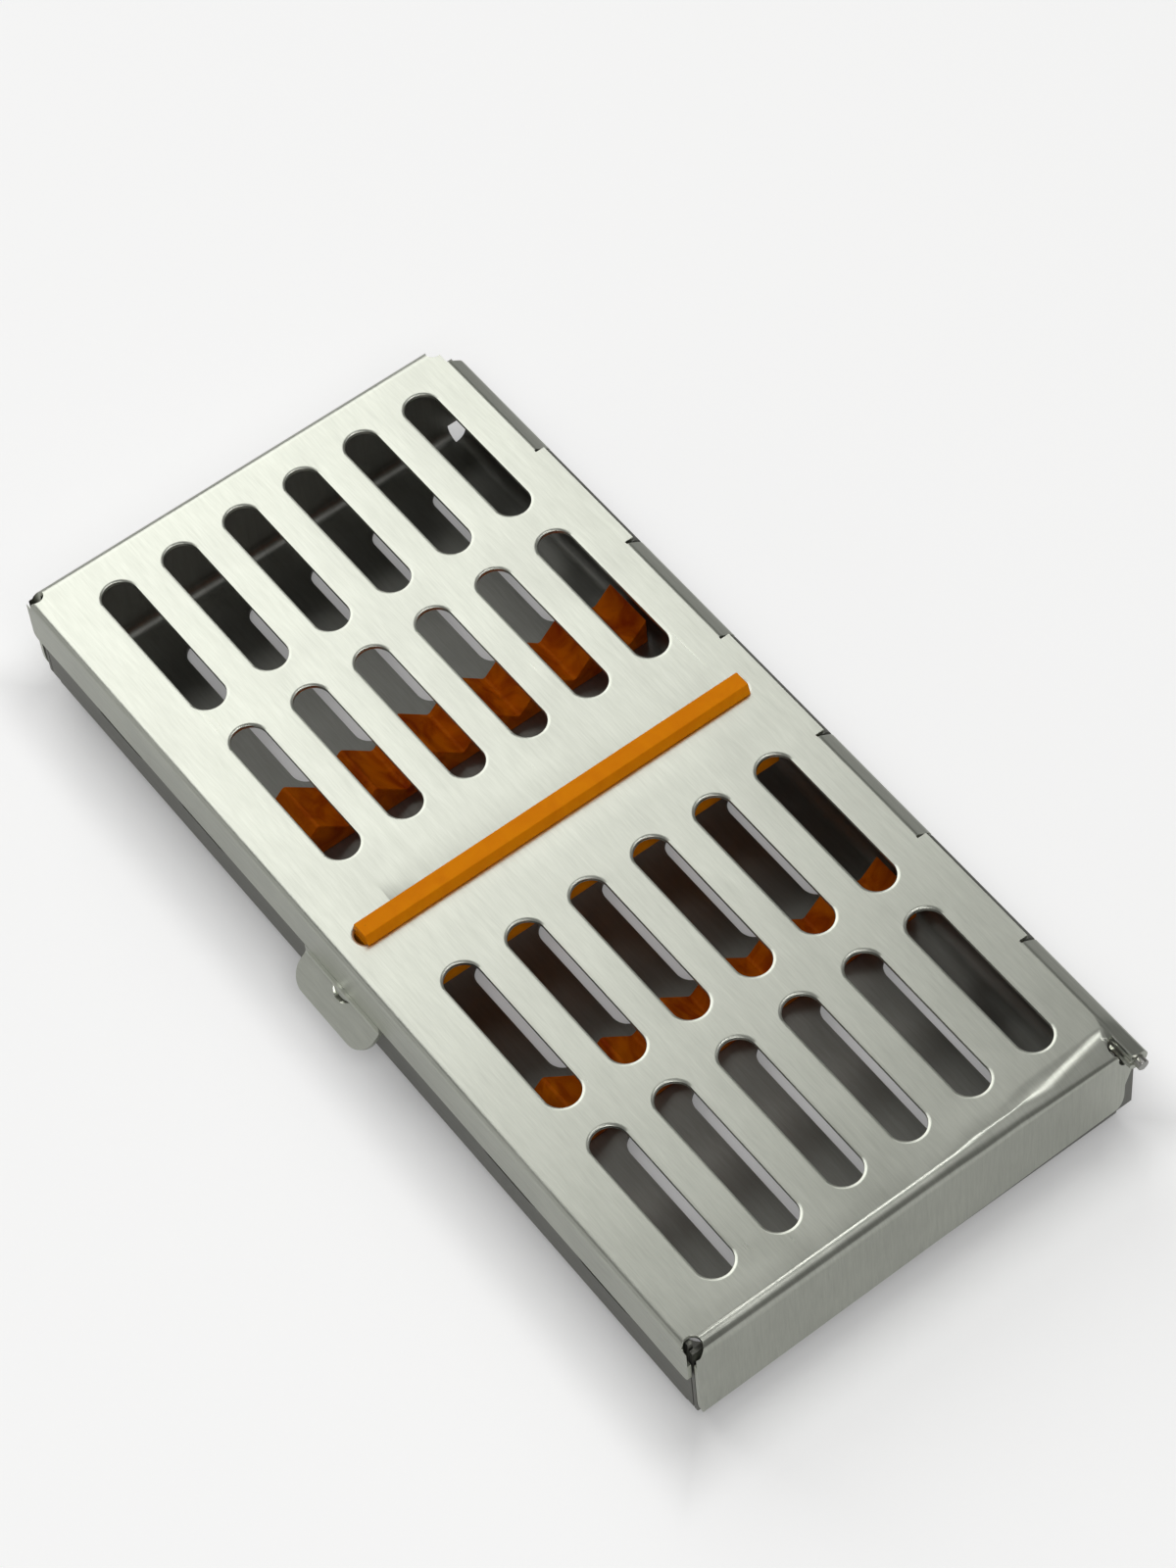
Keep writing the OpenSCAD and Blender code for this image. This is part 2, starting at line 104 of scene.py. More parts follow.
def roll(turn, axis, x, y, z, steps):
    """Turns the selected edges round an axis through (x, y, z) and leaves sheet behind."""
    bpy.ops.mesh.spin(
        steps=steps, angle=-radians(turn), center=(x * MM, y * MM, z * MM), axis=axis)


def score_only(axis, place):
    """Cuts the selected faces along a plane across x, y or z."""
    point = [0, 0, 0]
    point["xyz".index(axis)] = place * MM
    bpy.ops.mesh.bisect(plane_co=point, plane_no=[float(a == axis) for a in "xyz"])


def score(axis, *places):
    """Cuts the selected faces at the first place, and the whole sheet at the others."""
    for place in places:
        score_only(axis, place)
        bpy.ops.mesh.select_all(action="SELECT")


def thicken(piece, thickness, hollow=1):
    """Gives an open shell its wall, inwards, or outwards where hollow is -1."""
    work_on(piece)
    bpy.ops.mesh.select_all(action="SELECT")
    bpy.ops.mesh.remove_doubles(threshold=0.00001)
    bpy.ops.mesh.normals_make_consistent(inside=False)
    mesh = bmesh.from_edit_mesh(piece.data)
    middle = sum((v.co for v in mesh.verts), mesh.verts[:][0].co * 0) / len(mesh.verts)
    lean = sum(f.calc_area() * f.normal.dot(f.calc_center_median() - middle)
               for f in mesh.faces)
    if lean * hollow < 0:
        bpy.ops.mesh.flip_normals()
    put_down()
    wall = piece.modifiers.new("wall", "SOLIDIFY")
    wall.thickness = thickness * MM
    wall.offset = -1
    wall.use_even_offset = True
    bpy.ops.object.modifier_apply(modifier=wall.name)


def long_punch(length, width, depth, turn=(0, 0, 0)):
    """A punch with round ends, for a slot that runs along y, before it is turned."""
    bpy.ops.object.select_all(action="DESELECT")
    bpy.ops.mesh.primitive_cylinder_add(
        vertices=48, radius=width / 2 * MM, depth=depth * MM, rotation=(0, 0, radians(3.75)))
    punch = bpy.context.object
    bpy.ops.object.transform_apply(location=False, rotation=True, scale=False)
    work_on(punch)
    for side in (-1, 1):
        pick("VERT", lambda x, y, z: y * side > 0)
        shift(0, side * (length - width) / 2, 0)
    put_down()
    punch.rotation_euler = [radians(a) for a in turn]
    bpy.ops.object.transform_apply(location=False, rotation=True, scale=False)
    return punch


def cut_away(piece, tool):
    """Takes the shape of a tool out of a piece."""
    work_on(piece)
    put_down()
    cut = piece.modifiers.new("cut", "BOOLEAN")
    cut.object = tool
    cut.operation = "DIFFERENCE"
    cut.solver = "EXACT"
    bpy.ops.object.modifier_apply(modifier=cut.name)
    bpy.data.objects.remove(tool)


def stamp(piece, punch, places):
    """Cuts the same punch through a piece at every place."""
    bpy.ops.object.select_all(action="DESELECT")
    for place in places:
        twin = punch.copy()
        twin.data = punch.data.copy()
        twin.location = [p * MM for p in place]
        bpy.context.collection.objects.link(twin)
        twin.select_set(True)
        bpy.context.view_layer.objects.active = twin
    if len(places) > 1:
        bpy.ops.object.join()
    tools = bpy.context.view_layer.objects.active
    bpy.ops.object.transform_apply(location=True, rotation=True, scale=True)
    cut_away(piece, tools)
    bpy.data.objects.remove(punch)


def crescent(chord, low_sag, high_sag, depth):
    """A punch for a half-moon, seen along x, whose horns lie on the middle of the piece."""
    tools = []
    for sag, long in ((low_sag, 1), (high_sag, 2)):
        radius = (chord * chord / 4 + sag * sag) / (2 * sag)
        bpy.ops.object.select_all(action="DESELECT")
        bpy.ops.mesh.primitive_cylinder_add(
            vertices=160, radius=radius * MM, depth=depth * long * MM,
            rotation=(0, radians(90), 0), location=(0, 0, (radius - sag) * MM))
        bpy.ops.object.transform_apply(location=True, rotation=True, scale=True)
        tools.append(bpy.context.object)
    moon, cutter = tools
    cut_away(moon, cutter)
    return moon


def weld(gap):
    """Joins points that lie closer than a gap in mm, and faces that lie flat together."""
    bpy.ops.mesh.select_all(action="SELECT")
    bpy.ops.mesh.remove_doubles(threshold=gap * MM)
    bpy.ops.mesh.dissolve_limited(angle_limit=radians(0.05))


def ease_edges(piece, width, segments=2, angle=35, cuts=(), clamp=True):
    """Rounds every sharp edge of a piece and keeps its flat faces flat in the light.

    Large flat faces with many holes are first cut at some places across x or y. Without
    the clamp the rounding keeps its full width beside very short edges.
    """
    work_on(piece)
    weld(0.02)
    for axis, places in cuts:
        bpy.ops.mesh.select_all(action="SELECT")
        score(axis, *places)
    put_down()
    bpy.ops.object.shade_smooth()
    edge = piece.modifiers.new("eased edges", "BEVEL")
    edge.width = width * MM
    edge.segments = segments
    edge.limit_method = "ANGLE"
    edge.angle_limit = radians(angle)
    edge.use_clamp_overlap = clamp
    bpy.ops.object.modifier_apply(modifier=edge.name)
    flats = piece.modifiers.new("flat faces", "WEIGHTED_NORMAL")
    flats.mode = "FACE_AREA_WITH_ANGLE"
    flats.weight = 50
    bpy.ops.object.modifier_apply(modifier=flats.name)


TRAY_LEFT, TRAY_RIGHT, TRAY_END, TRAY_FOLD = -42.2, 43.1, 88.8, 3.0
WALL_TOP, END_WALL_TOP, KNUCKLE_FOOT = 22.3, 21.1, 18.2
END_FLAP = 2.0
ROD_X, ROD_Z, ROD_R = 41.3, 20.55, 1.0
ROD_ROOM = 2.35
KNUCKLE_GAP, KNUCKLE_PITCH = 0.5, 25.05
KNUCKLE_ENDS = [-91.5] + [-65.4 + KNUCKLE_PITCH * k for k in range(7)]
TRAY_KNUCKLES, LID_KNUCKLES = (1, 3, 5), (0, 2, 4, 6)
TRAY_KNUCKLE_TURN = 255
COLUMNS = (-2.5, -1.5, -0.5, 0.5, 1.5, 2.5)
SLOT_W, PUNCH_DEPTH = 6.4, 4
TRAY_PITCH = 12.86
TRAY_INNER, TRAY_INNER_Y = 25.1, 15.25
TRAY_OUTER, TRAY_OUTER_Y = 36.5, 61.35
RACK_Y, RACK_SLOT, NECK_SLOT_W = 35.45, 76, 3.9
SIDE_SLOT, SIDE_SLOT_Y, SIDE_SLOT_Z = 16, (42, 66), 11.9
CATCH_Y, CATCH_Z, CATCH_LENGTH, CATCH_W = 0.4, 12.1, 6.6, 2.8

tray = flat_sheet("tray_sheet", TRAY_LEFT + TRAY_FOLD, TRAY_RIGHT - TRAY_FOLD,
                  TRAY_FOLD - TRAY_END, TRAY_END - TRAY_FOLD, 0)
work_on(tray)
pick("EDGE", lambda x, y, z: x < -39)
roll(90, (0, 1, 0), TRAY_LEFT + TRAY_FOLD, 0, TRAY_FOLD, 8)
pick("EDGE", lambda x, y, z: x > 40)
roll(-90, (0, 1, 0), TRAY_RIGHT - TRAY_FOLD, 0, TRAY_FOLD, 8)
for side in (-1, 1):
    pick("EDGE", lambda x, y, z: y * side > 85.7 and z < 0.01 and abs(x) < 5)
    roll(90 * side, (1, 0, 0), 0, side * (TRAY_END - TRAY_FOLD), TRAY_FOLD, 8)
pick("EDGE", lambda x, y, z: x < TRAY_LEFT + 0.01)
pull(0, 0, WALL_TOP - TRAY_FOLD)
pick("EDGE", lambda x, y, z: x > TRAY_RIGHT - 0.01)
pull(0, 0, KNUCKLE_FOOT - TRAY_FOLD)
for side in (-1, 1):
    pick("EDGE", lambda x, y, z: y * side > 85.7 and z > 9 and abs(x) > 42)
    pull(0, side * END_FLAP, 0)
    pick("EDGE", lambda x, y, z: y * side > TRAY_END - 0.01)
    pull(0, 0, KNUCKLE_FOOT - TRAY_FOLD)
    pick("EDGE", lambda x, y, z: y * side > TRAY_END - 0.01 and z > 9 and x < -39)
    pull(-TRAY_FOLD, 0, 0)
    pick("EDGE", lambda x, y, z: y * side > TRAY_END - 0.01 and z > 9 and x > 40)
    pull(TRAY_FOLD, 0, 0)
    pick("FACE", lambda x, y, z: y * side > TRAY_END - 0.01)
    score("x", ROD_X - ROD_ROOM)
    pick("EDGE", lambda x, y, z: y * side > TRAY_END - 0.01 and z > KNUCKLE_FOOT - 0.1
         and x < ROD_X - ROD_ROOM - 0.05)
    pull(0, 0, END_WALL_TOP - KNUCKLE_FOOT)
for k in TRAY_KNUCKLES:
    pick("FACE", lambda x, y, z: x > TRAY_RIGHT - 0.01 and z > 9)
    score("y", KNUCKLE_ENDS[k] + KNUCKLE_GAP / 2)
    pick("FACE", lambda x, y, z: x > TRAY_RIGHT - 0.01 and z > 9)
    score("y", KNUCKLE_ENDS[k + 1] - KNUCKLE_GAP / 2)
for k in TRAY_KNUCKLES:
    pick("EDGE", lambda x, y, z: x > TRAY_RIGHT - 0.01 and abs(z - KNUCKLE_FOOT) < 0.01
         and KNUCKLE_ENDS[k] < y < KNUCKLE_ENDS[k + 1] and abs(y - KNUCKLE_ENDS[k]) > 1
         and abs(y - KNUCKLE_ENDS[k + 1]) > 1)
    pull(0, 0, ROD_Z - KNUCKLE_FOOT)
pick("EDGE", lambda x, y, z: x > TRAY_RIGHT - 0.01 and z > ROD_Z - 0.01)
roll(-TRAY_KNUCKLE_TURN, (0, 1, 0), ROD_X, 0, ROD_Z, 30)
put_down()
thicken(tray, SHEET)
for length, row in ((TRAY_INNER, TRAY_INNER_Y), (TRAY_OUTER, TRAY_OUTER_Y)):
    stamp(tray, long_punch(length, SLOT_W, PUNCH_DEPTH),
          [(c * TRAY_PITCH, s * row, 0) for c in COLUMNS for s in (-1, 1)])
stamp(tray, long_punch(RACK_SLOT, NECK_SLOT_W, PUNCH_DEPTH, (0, 0, 90)),
      [(0, s * RACK_Y, 0) for s in (-1, 1)])
stamp(tray, long_punch(SIDE_SLOT, SLOT_W, PUNCH_DEPTH, (0, 90, 0)),
      [(x, s * y, SIDE_SLOT_Z)
       for x in (TRAY_LEFT, TRAY_RIGHT) for y in SIDE_SLOT_Y for s in (-1, 1)])
stamp(tray, long_punch(CATCH_LENGTH, CATCH_W, PUNCH_DEPTH, (0, 90, 0)),
      [(TRAY_LEFT, CATCH_Y, CATCH_Z)])
ease_edges(tray, SHEET_EASE)


def add(tree, kind, inputs=(), **settings):
    """Adds a node. Each input is a socket and its value, or another node's output."""
    made = tree.nodes.new("ShaderNode" + kind)
    for key, value in settings.items():
        setattr(made, key, value)
    for key, value in inputs:
        if isinstance(value, bpy.types.NodeSocket):
            tree.links.new(value, made.inputs[key])
        else:
            made.inputs[key].default_value = value
    return made


def maths(tree, operation, *values):
    """Adds a Math node and gives its output."""
    return add(tree, "Math", enumerate(values), operation=operation).outputs[0]


def blank_material(name, color, metal, roughness):
    """A new material, with the numbers that are the same all over it."""
    material = bpy.data.materials.new(name)
    material.use_nodes = True
    shader = material.node_tree.nodes["Principled BSDF"]
    shader.inputs["Base Color"].default_value = (*color, 1)
    shader.inputs["Metallic"].default_value = metal
    shader.inputs["Roughness"].default_value = roughness
    return material, shader, material.node_tree


# The belt leaves fine lines along the length of both sheets. On the side walls they run
# level, so there the fine direction is z instead of x.
brushing = bpy.data.node_groups.new("brushing", "ShaderNodeTree")
for label in ("Lines", "Clouds", "Scratches", "Across"):
    brushing.interface.new_socket(
        label, in_out="OUTPUT",
        socket_type="NodeSocketVector" if label == "Across" else "NodeSocketFloat")
place = add(brushing, "TexCoord")
facing = add(brushing, "SeparateXYZ", [(0, place.outputs["Normal"])])
side_on = maths(brushing, "GREATER_THAN", maths(brushing, "ABSOLUTE", facing.outputs[0]), 0.7)
spot = add(brushing, "SeparateXYZ", [(0, place.outputs["Object"])])
across = add(brushing, "Mix", [
    (0, side_on), (2, spot.outputs[0]), (3, spot.outputs[2])]).outputs[0]
other = add(brushing, "Mix", [
    (0, side_on), (2, spot.outputs[2]), (3, spot.outputs[0])]).outputs[0]


def strokes(fine, slow, detail):
    """Noise that is stretched along the belt's direction. Both numbers are per metre."""
    at = add(brushing, "CombineXYZ", [
        (0, maths(brushing, "MULTIPLY", across, fine)),
        (1, maths(brushing, "MULTIPLY", spot.outputs[1], slow)),
        (2, maths(brushing, "MULTIPLY", other, slow))])
    noise = add(brushing, "TexNoise", [("Vector", at.outputs[0]), ("Scale", 1.0),
                                       ("Detail", detail), ("Roughness", 0.6)])
    return noise.outputs[0]


lines = maths(brushing, "ADD", maths(brushing, "MULTIPLY", strokes(4200, 260, 2), 0.5),
              maths(brushing, "MULTIPLY", strokes(1500, 110, 2), 0.5))
clouds = add(brushing, "TexNoise", [
    ("Vector", place.outputs["Object"]), ("Scale", 70.0), ("Detail", 4.0), ("Distortion", 0.6)])
scratches = add(brushing, "MapRange", [
    (0, strokes(1600, 30, 1)), (1, 0.68), (2, 0.86), (3, 0.0), (4, 1.0)])
along = add(brushing, "CombineXYZ", [(0, maths(brushing, "SUBTRACT", 1.0, side_on)), (2, side_on)])
turned = add(brushing, "VectorTransform", [(0, along.outputs[0])],
             vector_type="VECTOR", convert_from="OBJECT", convert_to="WORLD")
ends = brushing.nodes.new("NodeGroupOutput")
for label, socket in (("Lines", lines), ("Clouds", clouds.outputs[0]),
                      ("Scratches", scratches.outputs[0]), ("Across", turned.outputs[0])):
    brushing.links.new(socket, ends.inputs[label])


def brushed_steel(name, dark, light, roughness, grain):
    """Brushed stainless steel between two tints."""
    material, shader, tree = blank_material(name, light, 1, roughness)
    belt = tree.nodes.new("ShaderNodeGroup")
    belt.node_tree = brushing
    tone = maths(tree, "ADD", maths(tree, "MULTIPLY", belt.outputs["Lines"], 0.75),
                 maths(tree, "MULTIPLY", belt.outputs["Clouds"], 0.45))
    ramp = add(tree, "ValToRGB", [(0, tone)])
    ramp.color_ramp.elements[0].position = 0.38
    ramp.color_ramp.elements[0].color = (*dark, 1)
    ramp.color_ramp.elements[1].position = 0.78
    ramp.color_ramp.elements[1].color = (*light, 1)
    tree.links.new(ramp.outputs[0], shader.inputs["Base Color"])
    dull = add(tree, "MapRange", [(0, belt.outputs["Clouds"]), (1, 0.3), (2, 0.7),
                                  (3, roughness - 0.03), (4, roughness + 0.04)])
    rough = maths(tree, "ADD", dull.outputs[0],
                  maths(tree, "MULTIPLY", belt.outputs["Scratches"], -0.04))
    tree.links.new(rough, shader.inputs["Roughness"])
    height = maths(tree, "SUBTRACT", belt.outputs["Lines"],
                   maths(tree, "MULTIPLY", belt.outputs["Scratches"], 0.2))
    bump = add(tree, "Bump", [("Height", height), ("Strength", grain), ("Distance", 0.00002)])
    tree.links.new(bump.outputs[0], shader.inputs["Normal"])
    shader.inputs["Anisotropic"].default_value = 0.5
    tree.links.new(belt.outputs["Across"], shader.inputs["Tangent"])
    return material


# The same stainless steel as the lid, tinted much darker: painted shade for the shade the tray
# lies in under the lid.
tray_steel = brushed_steel("tray_steel", (0.25, 0.25, 0.23), (0.32, 0.32, 0.295), 0.46, 0.15)
tray.data.materials.append(tray_steel)
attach(tray, "tray")
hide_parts("tray_shell")


# Lid.
# The second stamped sheet, 0.8 mm thick: 24 long slots whose rims the punch drew down a
# little, a slot for the strip, flanges on three sides, and on the fourth a slope that is
# rolled into four knuckles round the rod. Flat tabs between them cover the tray's knuckles.
LID_TOP, LID_END, LID_LEFT = 23.5, 90.0, -43.4
END_FOLD, SIDE_FOLD = 2.4, 1.2
END_FOLD_X, LID_EDGE_X = 38.8, 41.6
CREASE_R, CREASE_X = 1.2, 39.93
SIDE_FLANGE, SIDE_FLANGE_X = 8.6, -41.8
FLANGE_DROPS = (5.7, 3.4, 7.9)
STEP_HIGH = LID_TOP - END_FOLD - FLANGE_DROPS[0]
STEP_LOW = STEP_HIGH - FLANGE_DROPS[1]
FLANGE_LOW = STEP_LOW - FLANGE_DROPS[2]
FLANGE_RIGHT, FLANGE_STEP, FLANGE_RISE = 41.5, 1.1, 1.9
FLANGE_LEFT, FLANGE_CORNER, SIDE_CORNER = 0.6, 3.5, 1.2
KNUCKLE_SLOPE, KNUCKLE_RUN, KNUCKLE_DROP, LID_KNUCKLE_TURN = 35, 1.741, 1.219, 290
NEAR_REACH, NEAR_SINK = 4.46, 0.45
LID_PITCH, LID_SLOT, LID_ROWS = 12.31, 31.6, (29.1, 66.6)
RIM_W, RIM_DROP, RIM_X, RIM_Y = 0.55, 0.13, 39.7, 83
STRIP_SLOT, STRIP_SLOT_X = 77.1, -0.95
CORNER_HOLE, CORNER_HOLES_X, CORNER_HOLE_Y = 3, (-41.8, 39.6), 88.5
ROD_HOLE, ROD_HOLE_Y = 4.9, 89.8
LID_EASE = 0.05

lid = flat_sheet("lid_sheet", LID_LEFT + SIDE_FOLD, CREASE_X, END_FOLD - LID_END,
                 LID_END - END_FOLD, LID_TOP)
work_on(lid)
score("x", SIDE_FLANGE_X, END_FOLD_X)
pick("EDGE", lambda x, y, z: x < LID_LEFT + SIDE_FOLD + 0.01)
roll(-90, (0, 1, 0), LID_LEFT + SIDE_FOLD, 0, LID_TOP - SIDE_FOLD, 6)
for side in (-1, 1):
    pick("EDGE", lambda x, y, z: y * side > 87.5 and abs(x) < 5)
    roll(-90 * side, (1, 0, 0), 0, side * (LID_END - END_FOLD), LID_TOP - END_FOLD, 8)
pick("EDGE", lambda x, y, z: x < LID_LEFT + 0.01)
pull(0, 0, -SIDE_FLANGE)
for side in (-1, 1):
    pick("EDGE", lambda x, y, z: x < LID_LEFT + 0.01 and y * side > 87.5 and z < 22)
    pull(0, side * SIDE_CORNER, 0)
    pick("VERT", lambda x, y, z: x < LID_LEFT + 0.01 and y * side > 88.7 and z < 14)
    bpy.ops.mesh.bevel(offset=SIDE_CORNER * MM, segments=4, affect="VERTICES")
    pick("EDGE", lambda x, y, z: y * side > LID_END - 0.01)
    for drop in FLANGE_DROPS:
        pull(0, 0, -drop)
    pick("EDGE", lambda x, y, z: y * side > LID_END - 0.01 and z < 21.05
         and x < SIDE_FLANGE_X + 0.1)
    pull(-FLANGE_LEFT, 0, 0)
    pick("EDGE", lambda x, y, z: y * side > LID_END - 0.01 and z < 21.05
         and x > END_FOLD_X - 0.1)
    pull(FLANGE_RIGHT - FLANGE_STEP - END_FOLD_X, 0, 0)
    pick("EDGE", lambda x, y, z: y * side > LID_END - 0.01 and z > STEP_HIGH + 0.1
         and x > FLANGE_RIGHT - FLANGE_STEP - 0.1)
    pull(FLANGE_STEP, 0, 0)
    pick("VERT", lambda x, y, z: y * side > LID_END - 0.01
         and x > FLANGE_RIGHT - FLANGE_STEP - 0.1
         and (abs(z - STEP_HIGH) < 0.01 or abs(z - STEP_LOW) < 0.01))
    bpy.ops.mesh.edge_face_add()
    pick("VERT", lambda x, y, z: y * side > LID_END - 0.01 and z < FLANGE_LOW + 0.1 and x > 38)
    shift(0, 0, FLANGE_RISE)
    pick("VERT", lambda x, y, z: y * side > LID_END - 0.01 and z < 8 and (x < -42 or x > 40))
    bpy.ops.mesh.bevel(offset=FLANGE_CORNER * MM, segments=8, affect="VERTICES")

# Towards the hinge the near fold tightens and a flat slope grows on its inner side. For each
# x place across the lid, creases gives the y of the slope's crease and the fold's radius.
SLOPE_TILT, SLOPE_START, CREASE_Y, CREASE_EASE = 25, 8, -87, 0.45
FOLD_STEPS, SLOPE_STEPS = 8, 4
CORNER_OUT, CORNER_SINK, CREASE_RUN = 0.6, 0.28, 4.4
slope = radians(SLOPE_TILT)
creases = {20: (-87.5, 1.9), 30: (-86.8, 1.5), 38.2: (-86.2, 1.1)}
pick("FACE", lambda x, y, z: z > LID_TOP - 0.01)
score_only("y", CREASE_Y)
for place in (SLOPE_START, *creases):
    pick("FACE", lambda x, y, z: y < CREASE_Y - 0.01 and z > LID_TOP - END_FOLD)
    score_only("x", place)
for place, (crease, radius) in creases.items():
    pick("VERT", lambda x, y, z: abs(x - place) < 0.01 and abs(y - CREASE_Y) < 0.01)
    shift(0, crease - CREASE_Y, 0)
    foot = (1 - sin(slope)) * radius - LID_END
    for step in range(FOLD_STEPS):
        turn = radians(90 / FOLD_STEPS * step)
        old_y = END_FOLD - LID_END - END_FOLD * sin(turn)
        old_z = LID_TOP - END_FOLD + END_FOLD * cos(turn)
        past_slope = (90 - SLOPE_TILT) / (FOLD_STEPS - SLOPE_STEPS) * (step - SLOPE_STEPS)
        bend = max(slope, slope + radians(past_slope))
        new_y = radius - LID_END - radius * sin(bend)
        if step < SLOPE_STEPS:
            new_y = crease - CREASE_EASE + (foot - crease + CREASE_EASE) * step / SLOPE_STEPS
        new_z = (LID_TOP - tan(slope) * (crease - min(max(new_y, foot), 0))
                 - radius * (cos(slope) - cos(bend)))
        pick("VERT", lambda x, y, z: abs(x - place) < 0.7 and abs(y - old_y) < 0.02
             and abs(z - old_z) < 0.02)
        shift(0, new_y - old_y, new_z - old_z)
# The corner beside the last knuckle sinks with the slope, and its crease runs out behind it.
pick("VERT", lambda x, y, z: abs(x - END_FOLD_X) < 0.01 and -86.7 < y < -86.6 and z > 22)
shift(0, -CORNER_OUT, -CORNER_SINK)
pick("VERT", lambda x, y, z: x > CREASE_X - 0.01 and abs(y - CREASE_Y) < 0.01)
shift(0, CREASE_RUN, 0)
put_down()
thicken(lid, SHEET)
stamp(lid, long_punch(LID_SLOT, SLOT_W, PUNCH_DEPTH),
      [(c * LID_PITCH, s * y, LID_TOP) for c in COLUMNS for y in LID_ROWS for s in (-1, 1)])
stamp(lid, long_punch(STRIP_SLOT, NECK_SLOT_W, PUNCH_DEPTH, (0, 0, 90)),
      [(STRIP_SLOT_X, 0, LID_TOP)])
stamp(lid, long_punch(CORNER_HOLE, CORNER_HOLE, 6),
      [(x, s * CORNER_HOLE_Y, LID_TOP - 2) for x in CORNER_HOLES_X for s in (-1, 1)])
stamp(lid, long_punch(ROD_HOLE, ROD_HOLE, PUNCH_DEPTH, (90, 0, 0)),
      [(ROD_X, s * ROD_HOLE_Y, ROD_Z) for s in (-1, 1)])

work_on(lid)
weld(0.005)
pick("EDGE", lambda x, y, z: z > LID_TOP - 0.01 and abs(x) < RIM_X and abs(y) < RIM_Y, 60)
bpy.ops.mesh.bevel(offset=RIM_W * MM, segments=1, affect="EDGES")
pick("VERT", lambda x, y, z: abs(z - LID_TOP + RIM_W) < 0.01
     and abs(x) < RIM_X and abs(y) < RIM_Y)
shift(0, 0, RIM_W - RIM_DROP)
for k in range(1, 7):
    for place in (KNUCKLE_ENDS[k] - KNUCKLE_GAP / 2, KNUCKLE_ENDS[k] + KNUCKLE_GAP / 2):
        pick("FACE", lambda x, y, z: x > CREASE_X - 0.05 and z > LID_TOP - 1)
        score_only("y", place)
pick("FACE", lambda x, y, z: x > CREASE_X - 0.05 and z > LID_TOP - 1)
score_only("y", KNUCKLE_ENDS[7])
for k in TRAY_KNUCKLES:
    pick("FACE", lambda x, y, z: x > CREASE_X - 0.05 and z > LID_TOP - 1
         and KNUCKLE_ENDS[k] + 1 < y < KNUCKLE_ENDS[k + 1] - 1)
    pull(LID_EDGE_X - CREASE_X, 0, 0)
for k in LID_KNUCKLES:
    pick("FACE", lambda x, y, z: abs(x - CREASE_X) < 0.05 and z > LID_TOP - 1
         and KNUCKLE_ENDS[k] + 1 < y < KNUCKLE_ENDS[k + 1] - 1)
    roll(KNUCKLE_SLOPE, (0, 1, 0), CREASE_X, 0, LID_TOP - CREASE_R, 4)
    pull(KNUCKLE_RUN, 0, -KNUCKLE_DROP)
    roll(LID_KNUCKLE_TURN, (0, 1, 0), ROD_X, 0, ROD_Z, 34)
pick("FACE", lambda x, y, z: x > CREASE_X + 0.005 and -87.7 < y < -86.9 and z > 18)
pull(0, -NEAR_REACH, 0)
pick("VERT", lambda x, y, z: CREASE_X - 0.05 < x < 40.7 and z > 21.8 and y < -86.8)
shift(0, 0, -NEAR_SINK)
put_down()
ease_edges(lid, LID_EASE, clamp=False, cuts=(
    ("x", [LID_PITCH * k for k in (-2, -1, 0, 1, 2)]),
    ("y", (-84.6, -47.85, -8, 8, 47.85, 84.6))))
lid_steel = brushed_steel("lid_steel", (0.62, 0.64, 0.565), (0.77, 0.79, 0.705), 0.31, 0.2)
lid.data.materials.append(lid_steel)
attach(lid, "lid")
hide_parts("lid_shell")


# Hinge rod.
# A plain 2 mm wire of stainless steel, cut to length and eased at both ends. It is held by
# the tray's tight knuckles and stands out of the lid's last one at both ends.
ROD_LENGTH, ROD_MIDDLE = 178.2, -3.7
ROD_NEAR, ROD_FAR = ROD_MIDDLE - ROD_LENGTH / 2, ROD_MIDDLE + ROD_LENGTH / 2

bpy.ops.object.select_all(action="DESELECT")
bpy.ops.mesh.primitive_cylinder_add(
    vertices=40, radius=ROD_R * MM, depth=ROD_LENGTH * MM,
    location=(ROD_X * MM, ROD_MIDDLE * MM, ROD_Z * MM), rotation=(radians(90), 0, 0))
rod = bpy.context.object
rod.name = "hinge_wire"
bpy.ops.object.transform_apply(location=True, rotation=True, scale=True)
work_on(rod)
pick("FACE", lambda x, y, z: y < ROD_NEAR + 0.1 or y > ROD_FAR - 0.1)
bpy.ops.mesh.inset(thickness=0.15 * MM)
for side, rod_end in ((-1, ROD_NEAR), (1, ROD_FAR)):
    pick("FACE", lambda x, y, z: (y - rod_end) * side > -0.1 and abs(x - ROD_X) < 0.1)
    shift(0, side * 0.1, 0)
put_down()
ease_edges(rod, 0.08, 2, 25)
rod_steel, shader, tree = blank_material("rod_steel", (0.6, 0.6, 0.58), 1, 0.3)
place = add(tree, "TexCoord")
drawn = add(tree, "Mapping", [(0, place.outputs["Object"]), (3, (5000, 60, 5000))])
streak = add(tree, "TexNoise", [("Vector", drawn.outputs[0]), ("Scale", 1.0), ("Detail", 3.0)])
tint = add(tree, "ValToRGB", [(0, streak.outputs[0])])
tint.color_ramp.elements[0].color = (0.42, 0.41, 0.39, 1)
tint.color_ramp.elements[1].color = (0.72, 0.71, 0.68, 1)
tree.links.new(tint.outputs[0], shader.inputs["Base Color"])
worn = add(tree, "MapRange", [(0, streak.outputs[0]), (3, 0.22), (4, 0.4)])
tree.links.new(worn.outputs[0], shader.inputs["Roughness"])
rod.data.materials.append(rod_steel)
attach(rod, "tray")
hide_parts("hinge_rod")


